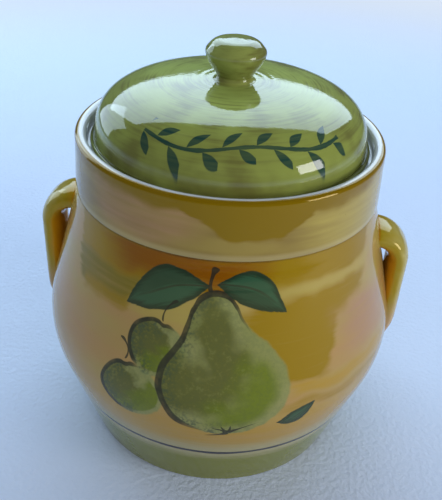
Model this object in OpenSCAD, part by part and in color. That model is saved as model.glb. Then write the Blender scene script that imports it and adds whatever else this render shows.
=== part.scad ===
// Glazed stoneware fruit-preserving crock with two ear handles and a recessed domed lid.
// The origin is the centre of the foot, +Z is up, +X runs through the right-hand handle
// and -Y is the decorated front.

/* [Crock] */
// Height of the crock from its foot to the top of its rim
crock_h = 228; // [200:1:260]
// Outer radius of the foot
foot_r = 97; // [88:0.5:104]
// Radius at which the lower and the upper cone of the wall would meet
belly_r = 127.2; // [118:0.1:134]
// Height of that widest place
belly_z = 91; // [75:1:105]
// Rounding radius of the belly
belly_round = 80; // [40:1:95]
// Thickness of the wall
wall_t = 7; // [5:0.5:9]
// Thickness of the floor above the recess
floor_t = 8; // [6:0.5:11]
// Rounding radius inside, between the wall and the floor
floor_round = 14; // [6:1:24]

/* [Foot ring] */
// Width of the ring that the crock stands on
foot_ring_w = 12; // [8:0.5:18]
// Depth of the recess under the base
foot_recess = 3; // [2:0.5:5]
// Rounding radius of the foot's outer edge
foot_edge = 2.5; // [1:0.25:4]

/* [Collar] */
// Outer radius of the collar at the rim
rim_r = 100; // [94:0.5:106]
// Height of the collar band
collar_h = 37.5; // [28:0.5:46]
// How much wider the collar's lower edge is than the rim
collar_flare = 1.2; // [0:0.2:3]
// Depth of the crease between the collar and the shoulder
crease_depth = 1.4; // [1.2:0.2:3.5]
// Rounding radius of the collar's lower edge
collar_edge = 2.2; // [1:0.2:3]
// Rounding radius of the rim
rim_edge = 2.8; // [1:0.2:3.2]

/* [Lid seat] */
// Width of the rim round the recess that takes the lid
rim_w = 7; // [6:0.25:9]
// Depth of that recess below the rim
seat_depth = 9; // [6:0.5:12]
// Width of the ledge that the lid rests on
ledge_w = 9; // [7:0.5:12]
// Thickness of the ledge at its inner edge
ledge_t = 6; // [4:0.5:9]
// Slope height under the ledge, where it runs back to the wall
ledge_slope = 9; // [5:0.5:14]

/* [Handles] */
// Height at which the right handle's centre line leaves the wall
handle_top_right = 163; // [152:0.5:166]
// Height at which the left handle's centre line leaves the wall
handle_top_left = 168.5; // [152:0.5:170]
// Rise of the centre line from there to its outer corner
handle_rise = 3.5; // [0:0.5:6]
// How far the centre line's outer corner lies beyond the belly's radius
handle_bow = -4.4; // [-6:0.1:2]
// Rounding radius of that corner
handle_round = 17.5; // [13:0.5:24]
// Height at which the strap turns in towards the belly
handle_turn = 93; // [86:1:104]
// Height of the lower tip
handle_tip = 40; // [36:1:62]
// How far the centre line stands off the belly where it turns in
handle_stand = -4.2; // [-6:0.1:1]
// Width of the strap where it leaves the collar
handle_w_top = 34; // [24:0.5:40]
// Width of the strap at its middle
handle_w_mid = 32; // [20:0.5:36]
// Width of the strap at its lower tip
handle_w_tip = 9; // [6:0.5:14]
// Thickness of the strap above its middle
handle_t = 14.5; // [10:0.5:16]
// Thickness of the strap at its lower tip
handle_t_tip = 5; // [4:0.5:8]

/* [Lid] */
// Loose fit between the lid's edge and its recess
lid_gap = 2.5; // [1:0.25:4]
// Thickness of the rounded lip round the lid
lip_t = 5; // [4:0.25:7]
// Width of the lip outside the dome
lip_w = 2.8; // [2.5:0.25:6]
// Rounding radius of the lip
lip_edge = 2.3; // [1:0.1:2.4]
// Depth of the fine groove between the lip and the dome
lip_groove = 1; // [0.5:0.25:2]
// Rise of the dome above the lip
dome_h = 37.5; // [24:0.5:44]
// Fullness of the dome, from a plain ellipse at 2 to squarer shoulders
dome_full = 3.0; // [2:0.05:3.4]
// Thickness of the dome's wall
dome_t = 6; // [4:0.5:8]
// Loose fit between the locating ring under the lid and the ledge
ring_gap = 2; // [1:0.25:4]
// Thickness of the locating ring
ring_t = 5; // [4:0.5:8]
// Drop of the locating ring below the ledge's top
ring_drop = 10; // [6:0.5:14]

/* [Knob] */
// Radius of the knob at its widest
knob_r = 19.2; // [15:0.2:24]
// Radius of its neck on the lid
knob_neck_r = 10.8; // [8:0.2:13]
// Height of the knob
knob_h = 25.5; // [22:0.5:34]
// Height of the widest place above the lid
knob_wide_z = 16.5; // [15:0.5:22]

/* [Hidden] */
$fn = 120;
yellow_glaze = [0.80, 0.60, 0.24];
green_glaze = [0.22, 0.36, 0.16];
arc_step = 6;
crease_z = crock_h - collar_h;
seat_z = crock_h - seat_depth;
seat_r = rim_r - rim_w;
bore_r = seat_r - ledge_w;
collar_in_r = rim_r - wall_t;
foot_in_r = foot_r - foot_ring_w;
floor_z = foot_recess + floor_t;
soft_edge = 1.5;
crease_round = 0.6;
ledge_round = 3;
collar_round = 6;
lid_r = seat_r - lid_gap;
dome_r = lid_r - lip_w;
lip_top = seat_z + lip_t;
dome_z = lip_top - lip_groove;
lid_top = dome_z + dome_h;
ring_r = bore_r - ring_gap;
ring_z = seat_z - ring_drop;
knob_seat_r = knob_neck_r + 1.5;
dome_steps = 28;
strap_step = 4;
strap_sides = 20;
strap_full = 0.8;
strap_bury = 8;
tip_bury = 4;
turn_round = 2 * handle_round;
knob_foot_lean = 0.6;
knob_foot_h = 2;
knob_foot_round = 3;
knob_under_in = 1.6;
knob_under_h = 4;
knob_under_round = 12;
knob_brim_out = 0.4;
knob_brim_h = 1.5;
knob_brim_round = 4;
knob_crown_share = 0.72;
knob_crown_drop = 0.8;
knob_crown_round = 9;

// Unit vector from one point to another
function toward(from, to) = (to - from) / norm(to - from);

// A corner [x, y, radius] of an outline, turned into the points of its arc
function corner_arc(before, corner, after) =
    let (
        p = [corner[0], corner[1]],
        back = toward(p, [before[0], before[1]]),
        ahead = toward(p, [after[0], after[1]]),
        half = acos(back * ahead) / 2,
        reach = corner[2] / tan(half),
        centre = p + (back + ahead) / norm(back + ahead) * corner[2] / sin(half),
        from = p + back * reach - centre,
        to = p + ahead * reach - centre,
        a0 = atan2(from[1], from[0]),
        raw = atan2(to[1], to[0]) - a0,
        sweep = raw > 180 ? raw - 360 : raw < -180 ? raw + 360 : raw,
        steps = max(2, ceil(abs(sweep) / arc_step))
    )
    [for (i = [0:steps]) centre + corner[2] * [cos(a0 + sweep * i / steps), sin(a0 + sweep * i / steps)]];

// An outline of corners [x, y, radius]; a corner with no radius stays sharp
function rounded(corners) = [
    for (i = [0:len(corners) - 1])
        let (last = len(corners) - 1, c = corners[i])
        each (i == 0 || i == last || c[2] == 0) ? [[c[0], c[1]]]
            : corner_arc(corners[i - 1], c, corners[i + 1])
];

// Radius of the outer wall's two cones at a height
function wall_at(z) = z < belly_z
    ? foot_r + (belly_r - foot_r) * z / belly_z
    : belly_r + (rim_r - belly_r) * (z - belly_z) / (crease_z - belly_z);

// Outside of the crock from its foot up to the middle of its rim
outside = [
    [foot_r - foot_ring_w / 2, 0, 0],
    [foot_r, 0, foot_edge],
    [belly_r, belly_z, belly_round],
    [rim_r + collar_flare - crease_depth, crease_z, crease_round],
    [rim_r + collar_flare, crease_z - crease_round, collar_edge / 2],
    [rim_r + collar_flare, crease_z + collar_edge, collar_edge],
    [rim_r, crock_h, rim_edge],
    [(rim_r + seat_r) / 2, crock_h, 0]
];

// Inside of the crock from its rim down to the middle of its floor
inside = [
    [(rim_r + seat_r) / 2, crock_h, 0],
    [seat_r, crock_h, rim_edge],
    [seat_r, seat_z, soft_edge],
    [bore_r, seat_z, soft_edge],
    [bore_r, seat_z - ledge_t, soft_edge],
    [collar_in_r, seat_z - ledge_t - ledge_slope, ledge_round],
    [collar_in_r, crease_z, collar_round],
    [belly_r - wall_t, belly_z, belly_round - wall_t],
    [wall_at(floor_z) - wall_t, floor_z, floor_round],
    [0, floor_z, 0]
];

// Underside of the base and the inner flank of the foot ring
underside = [
    [0, foot_recess, 0],
    [foot_in_r, foot_recess, soft_edge],
    [foot_in_r, 0, soft_edge],
    [foot_r - foot_ring_w / 2, 0, 0]
];

// Thrown crock: recessed foot, low belly, straight shoulder, collar and lid seat
module crock() {
    color(yellow_glaze)
        rotate_extrude()
            polygon(concat(rounded(underside), rounded(outside), rounded(inside)));
}

// The space that the crock's outer skin encloses, for fitting the handles to it
module crock_space() {
    rotate_extrude()
        polygon(concat([[0, 0]], rounded(outside), [[0, crock_h]]));
}

// An outline's points with more set between those that lie far apart
function dense(points, step) = concat(
    [
        for (i = [0:len(points) - 2])
            let (from = points[i], to = points[i + 1], n = ceil(norm(to - from) / step))
            for (k = [0:n - 1]) from + (to - from) * k / n
    ],
    [points[len(points) - 1]]
);

// Centre line of a handle in its own upright plane, as points [radius, height]
function strap_line(top) = dense(rounded([
    [wall_at(top) - strap_bury, top - handle_rise / 2, 0],
    [belly_r + handle_bow, top + handle_rise, handle_round],
    [wall_at(handle_turn) + handle_stand, handle_turn, turn_round],
    [wall_at(handle_tip) - tip_bury, handle_tip, 0]
]), strap_step);

// Width of the strap from its top, past its middle, to its tip
function strap_w(t) = t < 0.5
    ? handle_w_mid + (handle_w_top - handle_w_mid) * pow(1 - 2 * t, 2)
    : handle_w_tip + (handle_w_mid - handle_w_tip) * cos(180 * t - 90);

function strap_thick(t) = handle_t_tip + (handle_t - handle_t_tip) * cos(90 * max(0, 2 * t - 1));

// One ring of points round the strap: a flat oval square to the centre line
function strap_ring(line, i) =
    let (
        last = len(line) - 1,
        t = i / last,
        c = line[i],
        along = toward(line[max(0, i - 1)], line[min(last, i + 1)]),
        out = [-along[1], along[0]]
    )
    [for (k = [0:strap_sides - 1])
        let (
            a = 360 * k / strap_sides,
            u = strap_thick(t) / 2 * sign(cos(a)) * pow(abs(cos(a)), strap_full),
            v = strap_w(t) / 2 * sign(sin(a)) * pow(abs(sin(a)), strap_full)
        )
        [c[0] + out[0] * u, v, c[1] + out[1] * u]];

// Closed tube through the rings
module strap(top) {
    line = strap_line(top);
    ends = len(line) - 1;
    n = strap_sides;
    rings = [for (i = [0:ends]) each strap_ring(line, i)];
    sides = [
        for (i = [0:ends - 1], k = [0:n - 1])
            let (a = i * n + k, b = i * n + (k + 1) % n)
            each [[a, b, b + n], [a, b + n, a + n]]
    ];
    upper = [for (k = [n - 1:-1:0]) k];
    lower = [for (k = [0:n - 1]) ends * n + k];
    polyhedron(rings, concat(sides, [upper, lower]), convexity = 4);
}

// Pulled ear handle, cut to the skin that it is joined to
module ear_handle(top) {
    color(yellow_glaze)
        difference() {
            strap(top);
            crock_space();
        }
}

module handle_right() {
    ear_handle(handle_top_right);
}

module handle_left() {
    mirror([1, 0, 0])
        ear_handle(handle_top_left);
}

// Height of a full dome of a given base radius and rise, at a radius
function dome_at(r, base_r, rise) = rise * pow(max(0, 1 - pow(r / base_r, dome_full)), 1 / dome_full);

// Points of a dome from its rim to its middle, closer together where it is steep
function dome_points(base_r, rise, base_z, end_r) = [
    for (i = [0:dome_steps])
        let (a = 90 * i / dome_steps, r = end_r + (base_r - end_r) * cos(a))
        [r, base_z + dome_at(r, base_r, rise)]
];

function reversed(points) = [for (i = [len(points) - 1:-1:0]) points[i]];

// Thrown lid: locating ring below, rounded lip on the ledge, full dome above
module lid() {
    inner_r = dome_r - dome_t;
    ring_in_r = ring_r - ring_t;
    under = dome_points(inner_r, dome_h - dome_t, dome_z, 0);
    kept = [for (p = reversed(under)) if (p[0] < ring_in_r - soft_edge) p];
    lip = [
        [ring_in_r, dome_z + dome_at(ring_in_r, inner_r, dome_h - dome_t), 0],
        [ring_in_r, ring_z, soft_edge],
        [ring_r, ring_z, soft_edge],
        [ring_r, seat_z, 0],
        [lid_r, seat_z, lip_edge],
        [lid_r, lip_top, lip_edge],
        [dome_r + soft_edge, lip_top, soft_edge / 2],
        [dome_r + soft_edge / 3, dome_z, 0]
    ];
    top = [for (p = dome_points(dome_r, dome_h, dome_z, 0)) if (p[0] > knob_seat_r) p];
    color(green_glaze)
        rotate_extrude()
            polygon(concat(kept, rounded(lip), top, [[knob_seat_r, lid_top], [0, lid_top]]));
}

// Thrown knob, narrow at its neck and full at its crown
module lid_knob() {
    top = lid_top + knob_h;
    wide = lid_top + knob_wide_z;
    crown = rounded([
        [0, lid_top, 0],
        [knob_neck_r, lid_top, 0],
        [knob_neck_r + knob_foot_lean, lid_top + knob_foot_h, knob_foot_round],
        [knob_r - knob_under_in, wide - knob_under_h, knob_under_round],
        [knob_r + knob_brim_out, wide + knob_brim_h, knob_brim_round],
        [knob_r * knob_crown_share, top - knob_crown_drop, knob_crown_round],
        [0, top, 0]
    ]);
    color(green_glaze)
        rotate_extrude()
            polygon(crown);
}

crock();
handle_right();
handle_left();
lid();
lid_knob();
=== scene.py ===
"""A glazed stoneware fruit-preserving crock with ear handles and a recessed domed lid.

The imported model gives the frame. Thrown pieces are turned from the same outlines as the solids, the
handles are pulled along the same lines, and the painted glazes are procedural.
"""

from __future__ import annotations

import logging
import math
from dataclasses import dataclass, field
from enum import Enum, IntEnum
from typing import Any

import bpy
from mathutils import Matrix, Vector

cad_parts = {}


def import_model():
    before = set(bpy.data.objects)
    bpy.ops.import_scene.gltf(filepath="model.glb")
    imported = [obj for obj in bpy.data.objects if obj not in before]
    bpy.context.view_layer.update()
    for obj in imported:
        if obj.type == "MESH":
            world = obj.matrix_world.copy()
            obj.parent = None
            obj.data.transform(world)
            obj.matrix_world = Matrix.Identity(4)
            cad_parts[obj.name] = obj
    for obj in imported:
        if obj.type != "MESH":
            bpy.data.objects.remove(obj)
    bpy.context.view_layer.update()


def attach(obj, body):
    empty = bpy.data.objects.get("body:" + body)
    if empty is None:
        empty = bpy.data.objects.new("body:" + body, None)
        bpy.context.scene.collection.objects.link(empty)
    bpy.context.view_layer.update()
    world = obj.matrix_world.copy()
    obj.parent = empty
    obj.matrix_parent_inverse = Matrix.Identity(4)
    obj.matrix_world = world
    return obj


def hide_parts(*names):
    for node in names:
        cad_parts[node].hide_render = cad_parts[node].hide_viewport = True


LOG = logging.getLogger("crock")
MM = 0.001


def srgb(code: str) -> tuple[float, float, float, float]:
    """Turns an sRGB hex colour to linear light.

    Args:
        code: Six hex digits after a hash sign.

    Returns:
        Red, green, blue and alpha for a colour socket.
    """
    channels = [int(code[i : i + 2], 16) / 255 for i in (1, 3, 5)]
    linear = [c / 12.92 if c <= 0.04045 else ((c + 0.055) / 1.055) ** 2.4 for c in channels]
    return (linear[0], linear[1], linear[2], 1.0)


@dataclass(frozen=True)
class Corner:
    """A corner of an outline, in millimetres, with the radius that rounds it."""

    r: float
    z: float
    rounding: float = 0.0


def rounded(corners: list[Corner], degrees: float = 6.0) -> list[Vector]:
    """Rounds the corners of an open outline.

    Args:
        corners: The outline's corners in order; its two ends stay sharp.
        degrees: The turn that one step of an arc takes.

    Returns:
        The outline's points, radius and height in millimetres.
    """
    points: list[Vector] = []
    for before, corner, after in zip([corners[0], *corners], corners, [*corners[1:], corners[-1]]):
        here = Vector((corner.r, corner.z))
        if corner in (before, after) or not corner.rounding:
            points.append(here)
            continue
        back = (Vector((before.r, before.z)) - here).normalized()
        ahead = (Vector((after.r, after.z)) - here).normalized()
        half = back.angle(ahead) / 2
        centre = here + (back + ahead).normalized() * corner.rounding / math.sin(half)
        start = here + back * corner.rounding / math.tan(half) - centre
        end = here + ahead * corner.rounding / math.tan(half) - centre
        sweep = math.atan2(start.x * end.y - start.y * end.x, start.dot(end))
        steps = max(2, math.ceil(abs(math.degrees(sweep)) / degrees))
        for i in range(steps + 1):
            turn = sweep * i / steps
            points.append(
                centre
                + Vector(
                    (
                        start.x * math.cos(turn) - start.y * math.sin(turn),
                        start.x * math.sin(turn) + start.y * math.cos(turn),
                    )
                )
            )
    return points


def dense(points: list[Vector], step: float) -> list[Vector]:
    """Sets more points between those of an outline that lie far apart.

    Args:
        points: The outline.
        step: The longest distance left between two points, in millimetres.

    Returns:
        The outline with its added points.
    """
    out: list[Vector] = []
    for start, end in zip(points, points[1:]):
        count = max(1, math.ceil((end - start).length / step))
        out += [start.lerp(end, k / count) for k in range(count)]
    return [*out, points[-1]]


def start_piece(name: str) -> bpy.types.Object:
    """Adds one vertex at the origin, alone in the selection and in edit mode.

    Args:
        name: The name of the new piece.

    Returns:
        The new object.
    """
    bpy.ops.object.select_all(action="DESELECT")
    bpy.ops.mesh.primitive_plane_add(size=0.01)
    piece = bpy.context.object
    piece.name = name
    piece.data.name = name
    bpy.ops.object.mode_set(mode="EDIT")
    bpy.ops.mesh.select_all(action="SELECT")
    bpy.ops.mesh.merge(type="CENTER")
    return piece


def turned(name: str, outline: list[Vector], steps: int) -> bpy.types.Object:
    """Throws a round piece, by spinning its closed outline about the upright axis.

    Args:
        name: The name of the new piece.
        outline: Radius and height in millimetres, from the axis round to the axis.
        steps: The number of steps round the piece.

    Returns:
        The new object, with its place in its mesh.
    """
    piece = start_piece(name)
    here = Vector((outline[0].x * MM, 0.0, outline[0].y * MM))
    bpy.ops.transform.translate(value=here)
    for point in outline[1:]:
        there = Vector((point.x * MM, 0.0, point.y * MM))
        bpy.ops.mesh.extrude_region_move(TRANSFORM_OT_translate={"value": there - here})
        here = there
    bpy.ops.mesh.select_all(action="SELECT")
    bpy.ops.mesh.spin(steps=steps, angle=math.tau, center=(0, 0, 0), axis=(0, 0, 1))
    bpy.ops.mesh.select_all(action="SELECT")
    bpy.ops.mesh.remove_doubles(threshold=0.00001)
    bpy.ops.mesh.normals_make_consistent(inside=False)
    bpy.ops.object.mode_set(mode="OBJECT")
    bpy.ops.object.shade_smooth()
    return piece


class Node(Enum):
    """What a node does: its type, its output, its inputs in order and its setting."""

    TIMES = ("Math", 0, (0, 1), ("operation", "MULTIPLY"))
    PLUS = ("Math", 0, (0, 1), ("operation", "ADD"))
    MINUS = ("Math", 0, (0, 1), ("operation", "SUBTRACT"))
    TIMES_PLUS = ("Math", 0, (0, 1, 2), ("operation", "MULTIPLY_ADD"))
    LARGER = ("Math", 0, (0, 1), ("operation", "MAXIMUM"))
    SOFT_LARGER = ("Math", 0, (0, 1, 2), ("operation", "SMOOTH_MAX"))
    ABSOLUTE = ("Math", 0, (0,), ("operation", "ABSOLUTE"))
    WRAP = ("Math", 0, (0, 1, 2), ("operation", "WRAP"))
    SINE = ("Math", 0, (0,), ("operation", "SINE"))
    TURN = ("Math", 0, (0, 1), ("operation", "ARCTAN2"))
    STEP = ("MapRange", 0, (0, 1, 2, 3, 4), ("interpolation_type", "SMOOTHSTEP"))
    CURVE = ("FloatCurve", 0, (1,), ())
    RAMP = ("ValToRGB", 0, (0,), ())
    PAINT = ("Mix", 2, (0, 6, 7), ("data_type", "RGBA"))
    PLACE = ("TexCoord", "Object", (), ())
    FACING = ("TexCoord", "Normal", (), ())
    LOCAL = ("Mapping", 0, (0, 1, 2, 3), ("vector_type", "TEXTURE"))
    POINT = ("CombineXYZ", 0, (0, 1, 2), ())
    X = ("SeparateXYZ", "X", (0,), ())
    Y = ("SeparateXYZ", "Y", (0,), ())
    Z = ("SeparateXYZ", "Z", (0,), ())
    VECTOR_SCALE = ("VectorMath", 0, (0, "Scale"), ("operation", "SCALE"))
    VECTOR_TIMES = ("VectorMath", 0, (0, 1), ("operation", "MULTIPLY"))
    VECTOR_PLUS = ("VectorMath", 0, (0, 1), ("operation", "ADD"))
    VECTOR_MINUS = ("VectorMath", 0, (0, 1), ("operation", "SUBTRACT"))
    DIRECTION = ("VectorMath", 0, (0,), ("operation", "NORMALIZE"))
    LENGTH = ("VectorMath", "Value", (0,), ("operation", "LENGTH"))
    DOT = ("VectorMath", "Value", (0, 1), ("operation", "DOT_PRODUCT"))
    NOISE = ("TexNoise", 0, ("Vector", "Scale", "Detail"), ())
    NOISE_COLOUR = ("TexNoise", "Color", ("Vector", "Scale", "Detail"), ())
    BUMP = ("Bump", 0, ("Height", "Distance"), ())
    GLOSS = ("BsdfPrincipled", 0, ("Base Color", "Roughness", "Normal", "IOR", "Specular Tint"), ())
    GLOW = ("Emission", 0, ("Color", "Strength"), ())
    MIX = ("MixShader", 0, (0, 1, 2), ())
    OUT = ("OutputMaterial", 0, (0,), ())
    CAMERA_RAY = ("LightPath", "Is Camera Ray", (), ())
    BACKGROUND = ("Background", 0, ("Color", "Strength"), ())
    WORLD_OUT = ("OutputWorld", 0, (0,), ())


class Shader:
    """The nodes that dress one material or the surround, added from its patterns to its surface."""

    def __init__(self, owner: bpy.types.Material | bpy.types.World) -> None:
        """Clears what is there.

        Args:
            owner: The new material, named for the real one and how it was made, or the world.
        """
        owner.use_nodes = True
        self.owner = owner
        self.tree = owner.node_tree
        self.tree.nodes.clear()

    def add(self, node: Node, *values: Any, **points: list[Any]) -> bpy.types.NodeSocket:
        """Adds a node with its settings and links.

        Args:
            node: What the node does.
            values: A socket to link, or a value or a colour's hex code to set, for each of its
                inputs in order.
            points: The points of its "curve" or the stops of its "ramp".

        Returns:
            The node's output, or its input where it has no output.
        """
        kind, out, sockets, setting = node.value
        added = self.tree.nodes.new("ShaderNode" + kind)
        if setting:
            setattr(added, *setting)
        for socket, value in zip(sockets, values):
            if isinstance(value, bpy.types.NodeSocket):
                self.tree.links.new(value, added.inputs[socket])
            else:
                plain = srgb(value) if isinstance(value, str) else value
                added.inputs[socket].default_value = plain
        if "curve" in points:
            knots = added.mapping.curves[0].points
            while len(knots) < len(points["curve"]):
                knots.new(0.5, 0.5)
            for knot, place in zip(knots, points["curve"]):
                knot.location = place
            added.mapping.update()
        if "ramp" in points:
            stops = added.color_ramp.elements
            while len(stops) < len(points["ramp"]):
                stops.new(0.5)
            for stop, (place, colour) in zip(stops, points["ramp"]):
                stop.position = place
                stop.color = colour
        return added.outputs[out] if added.outputs else added.inputs[0]

    def lay(self, under: Any, over: Any, mask: Any, share: Any = 1.0) -> bpy.types.NodeSocket:
        """Lays one colour over another, where a mask says and as thickly as a share says."""
        return self.add(Node.PAINT, self.add(Node.TIMES, mask, share), under, over)


@dataclass(frozen=True)
class Wheel:
    """Where a point lies on a thrown piece, as sockets in millimetres and radians."""

    spot: bpy.types.NodeSocket
    side: bpy.types.NodeSocket
    r: bpy.types.NodeSocket
    z: bpy.types.NodeSocket
    turn: bpy.types.NodeSocket

    @classmethod
    def of(cls, shader: Shader) -> "Wheel":
        """Reads the place from Object coordinates, with the turn counted from the front.

        Args:
            shader: The shader to build in.

        Returns:
            The place.
        """
        metres = shader.add(Node.PLACE)
        spot = shader.add(Node.VECTOR_SCALE, metres, 1 / MM)
        flat = shader.add(Node.VECTOR_TIMES, spot, (1, 1, 0))
        side = shader.add(Node.DIRECTION, flat)
        r = shader.add(Node.LENGTH, flat)
        x = shader.add(Node.X, spot)
        y = shader.add(Node.Y, spot)
        z = shader.add(Node.Z, spot)
        front = shader.add(Node.TIMES, y, -1.0)
        turn = shader.add(Node.TURN, x, front)
        return cls(spot, side, r, z, turn)

    def brushed(
        self, shader: Shader, along: Any, wide: float, tall: float, detail: float = 3.0
    ) -> bpy.types.NodeSocket:
        """Streaks that a loaded brush leaves on a turning pot.

        Args:
            shader: The shader to build in.
            along: Height or radius across the streaks, in millimetres.
            wide: How often a streak changes round the pot.
            tall: The width of a streak in millimetres.
            detail: How many finer layers the streaks have.

        Returns:
            A value round 0.5.
        """
        ring = shader.add(Node.VECTOR_SCALE, self.side, wide)
        up = shader.add(Node.POINT, 0.0, 0.0, shader.add(Node.TIMES, along, 1 / tall))
        place = shader.add(Node.VECTOR_PLUS, ring, up)
        return shader.add(Node.NOISE, place, 1.0, detail)

    def clouds(self, shader: Shader, size: float, detail: float = 3.0) -> bpy.types.NodeSocket:
        """Uneven patches of about a size in millimetres, round 0.5."""
        return shader.add(Node.NOISE, self.spot, 1 / size, detail)


@dataclass(frozen=True)
class Brushwork:
    """Where a wide brush passed over a turning pot, as the turn and height its hand wandered to."""

    turn: bpy.types.NodeSocket
    z: bpy.types.NodeSocket
    streaks: bpy.types.NodeSocket
    wall_r: float

    @classmethod
    def of(cls, shader: Shader, wheel: Wheel, wander: float, wall_r: float) -> "Brushwork":
        """Reads the brush's place.

        Args:
            shader: The shader to build in.
            wheel: The place on the pot.
            wander: How far the hand wandered, in millimetres.
            wall_r: The radius of the wall in millimetres.

        Returns:
            The place, with level streaks round 0.5.
        """
        streaks = wheel.brushed(shader, wheel.z, 2.2, 3.0, 4.0)
        hand = shader.add(Node.NOISE_COLOUR, wheel.spot, 1 / 38.0, 2.5)
        sway = shader.add(Node.X, hand)
        lift = shader.add(Node.Y, hand)
        drag = shader.add(Node.TIMES_PLUS, streaks, 0.4, shader.add(Node.PLUS, sway, -0.7))
        turn = shader.add(Node.TIMES_PLUS, drag, wander / wall_r, wheel.turn)
        z = shader.add(Node.TIMES_PLUS, lift, wander, shader.add(Node.PLUS, wheel.z, -0.5 * wander))
        return cls(turn, z, streaks, wall_r)


@dataclass(frozen=True)
class Swath:
    """One band of thicker glaze, laid with a wide brush while the pot turns.

    It starts and ends at a turn in degrees from the front and lies between two heights in
    millimetres. The glaze runs as it melts, so a band is narrower at its foot. The fade, in
    millimetres, is that of its long edges, and its ends fade a few times farther.
    """

    start: float
    end: float
    low: float
    high: float
    colour: str
    cover: float = 1.0
    fade: float = 7.0
    drawn: float = 1.0
    lean: float = 0.55

    def laid(self, shader: Shader, brush: Brushwork, colour: Any) -> bpy.types.NodeSocket:
        """Lays the band over a colour.

        Args:
            shader: The shader to build in.
            brush: Where the brush passed.
            colour: The colour so far.

        Returns:
            The colour with the band on it.
        """
        middle = math.radians(self.start + self.end) / 2
        reach = math.radians(self.end - self.start) / 2 * brush.wall_r
        height = (self.high - self.low) / 2
        turn = shader.add(Node.WRAP, shader.add(Node.PLUS, brush.turn, -middle), math.pi, -math.pi)
        turn = shader.add(Node.ABSOLUTE, turn)
        up = shader.add(Node.PLUS, brush.z, -self.low - height)
        past_end = shader.add(
            Node.TIMES_PLUS,
            shader.add(Node.TIMES_PLUS, up, -self.lean / brush.wall_r, turn),
            brush.wall_r / self.drawn,
            -reach / self.drawn,
        )
        off = shader.add(Node.ABSOLUTE, up)
        past_edge = shader.add(Node.PLUS, off, -height)
        past = shader.add(Node.SOFT_LARGER, past_end, past_edge, min(14.0, height))
        inside = shader.add(Node.STEP, past, self.fade / 2, -self.fade / 2)
        load = shader.add(Node.TIMES_PLUS, brush.streaks, 1.1, self.cover - 0.55)
        return shader.lay(colour, self.colour, inside, load)


@dataclass(frozen=True)
class Inside:
    """Where a point lies in a painted shape, as sockets: its room to the edge and two places."""

    room: bpy.types.NodeSocket
    along: bpy.types.NodeSocket
    across: bpy.types.NodeSocket


class Taper(Enum):
    """How wide a brush stroke is along its length, as points from 0 to 1."""

    LEAF = ((0.0, 0.0), (0.1, 0.35), (0.28, 0.8), (0.46, 1.0), (0.66, 0.84), (0.86, 0.42), (1.0, 0.0))
    STEM = ((0.0, 0.0), (0.05, 0.7), (0.3, 0.5), (0.7, 0.6), (0.93, 1.0), (1.0, 0.0))
    HAIR = ((0.0, 0.0), (0.06, 1.0), (0.35, 0.6), (0.8, 0.3), (1.0, 0.0))


@dataclass(frozen=True)
class Stroke:
    """One stroke of a brush on the flattened wall, in millimetres and degrees."""

    x: float
    y: float
    heading: float
    length: float
    half_width: float
    bend: float = 0.0
    taper: Taper = Taper.LEAF

    def inside(self, shader: Shader, wall: Any) -> Inside:
        """How far inside the stroke a point lies.

        Args:
            shader: The shader to build in.
            wall: The flattened wall's coordinates in millimetres.

        Returns:
            The room to the stroke's edge in millimetres, the place along it from 0 to 1 and
            across it in millimetres.
        """
        local = shader.add(
            Node.LOCAL,
            wall,
            (self.x, self.y, 0),
            (0, 0, math.radians(self.heading)),
            (self.length, 1, 1),
        )
        s = shader.add(Node.X, local)
        t = shader.add(Node.Y, local)
        left = shader.add(Node.MINUS, 1.0, s)
        across = shader.add(Node.TIMES_PLUS, shader.add(Node.TIMES, s, left), -4 * self.bend, t)
        width = shader.add(Node.CURVE, s, curve=list(self.taper.value))
        off = shader.add(Node.ABSOLUTE, across)
        room = shader.add(Node.MINUS, shader.add(Node.TIMES, width, self.half_width), off)
        return Inside(room, s, across)


class Silhouette(Enum):
    """Half a fruit's outline, from its foot up to its stalk: a share of a turn and of its size."""

    PEAR = (
        (0.0, 0.615),
        (0.05, 0.63),
        (0.15, 0.645),
        (0.25, 0.64),
        (0.34, 0.615),
        (0.385, 0.62),
        (0.43, 0.70),
        (0.46, 0.85),
        (0.485, 0.96),
        (0.5, 0.975),
    )
    PLUM = ((0.0, 0.92), (0.2, 0.98), (0.35, 0.96), (0.47, 0.93), (0.5, 0.88))


@dataclass(frozen=True)
class Fruit:
    """A painted fruit: its middle and its tilt, its size and its silhouette.

    The ink is the width of the brush stroke that rounds its shaded side, in millimetres.
    """

    x: float
    y: float
    tilt: float
    reach: float
    ink: float
    silhouette: Silhouette

    def inside(self, shader: Shader, wall: Any) -> Inside:
        """How far inside the fruit a point lies.

        Args:
            shader: The shader to build in.
            wall: The flattened wall's coordinates in millimetres.

        Returns:
            The room to the fruit's edge, and the place up and across it, in millimetres.
        """
        local = shader.add(
            Node.LOCAL, wall, (self.x, self.y, 0), (0, 0, math.radians(self.tilt)), (1, 1, 1)
        )
        across = shader.add(Node.X, local)
        up = shader.add(Node.Y, local)
        turn = shader.add(Node.TURN, across, up)
        share = shader.add(Node.TIMES_PLUS, turn, 1 / math.tau, 0.5)
        half = self.silhouette.value
        outline = [*half, *((1 - place, size) for place, size in reversed(half[:-1]))]
        edge = shader.add(Node.CURVE, share, curve=outline)
        reach = shader.add(Node.LENGTH, local)
        room = shader.add(Node.MINUS, shader.add(Node.TIMES, edge, self.reach), reach)
        return Inside(room, up, across)


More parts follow.
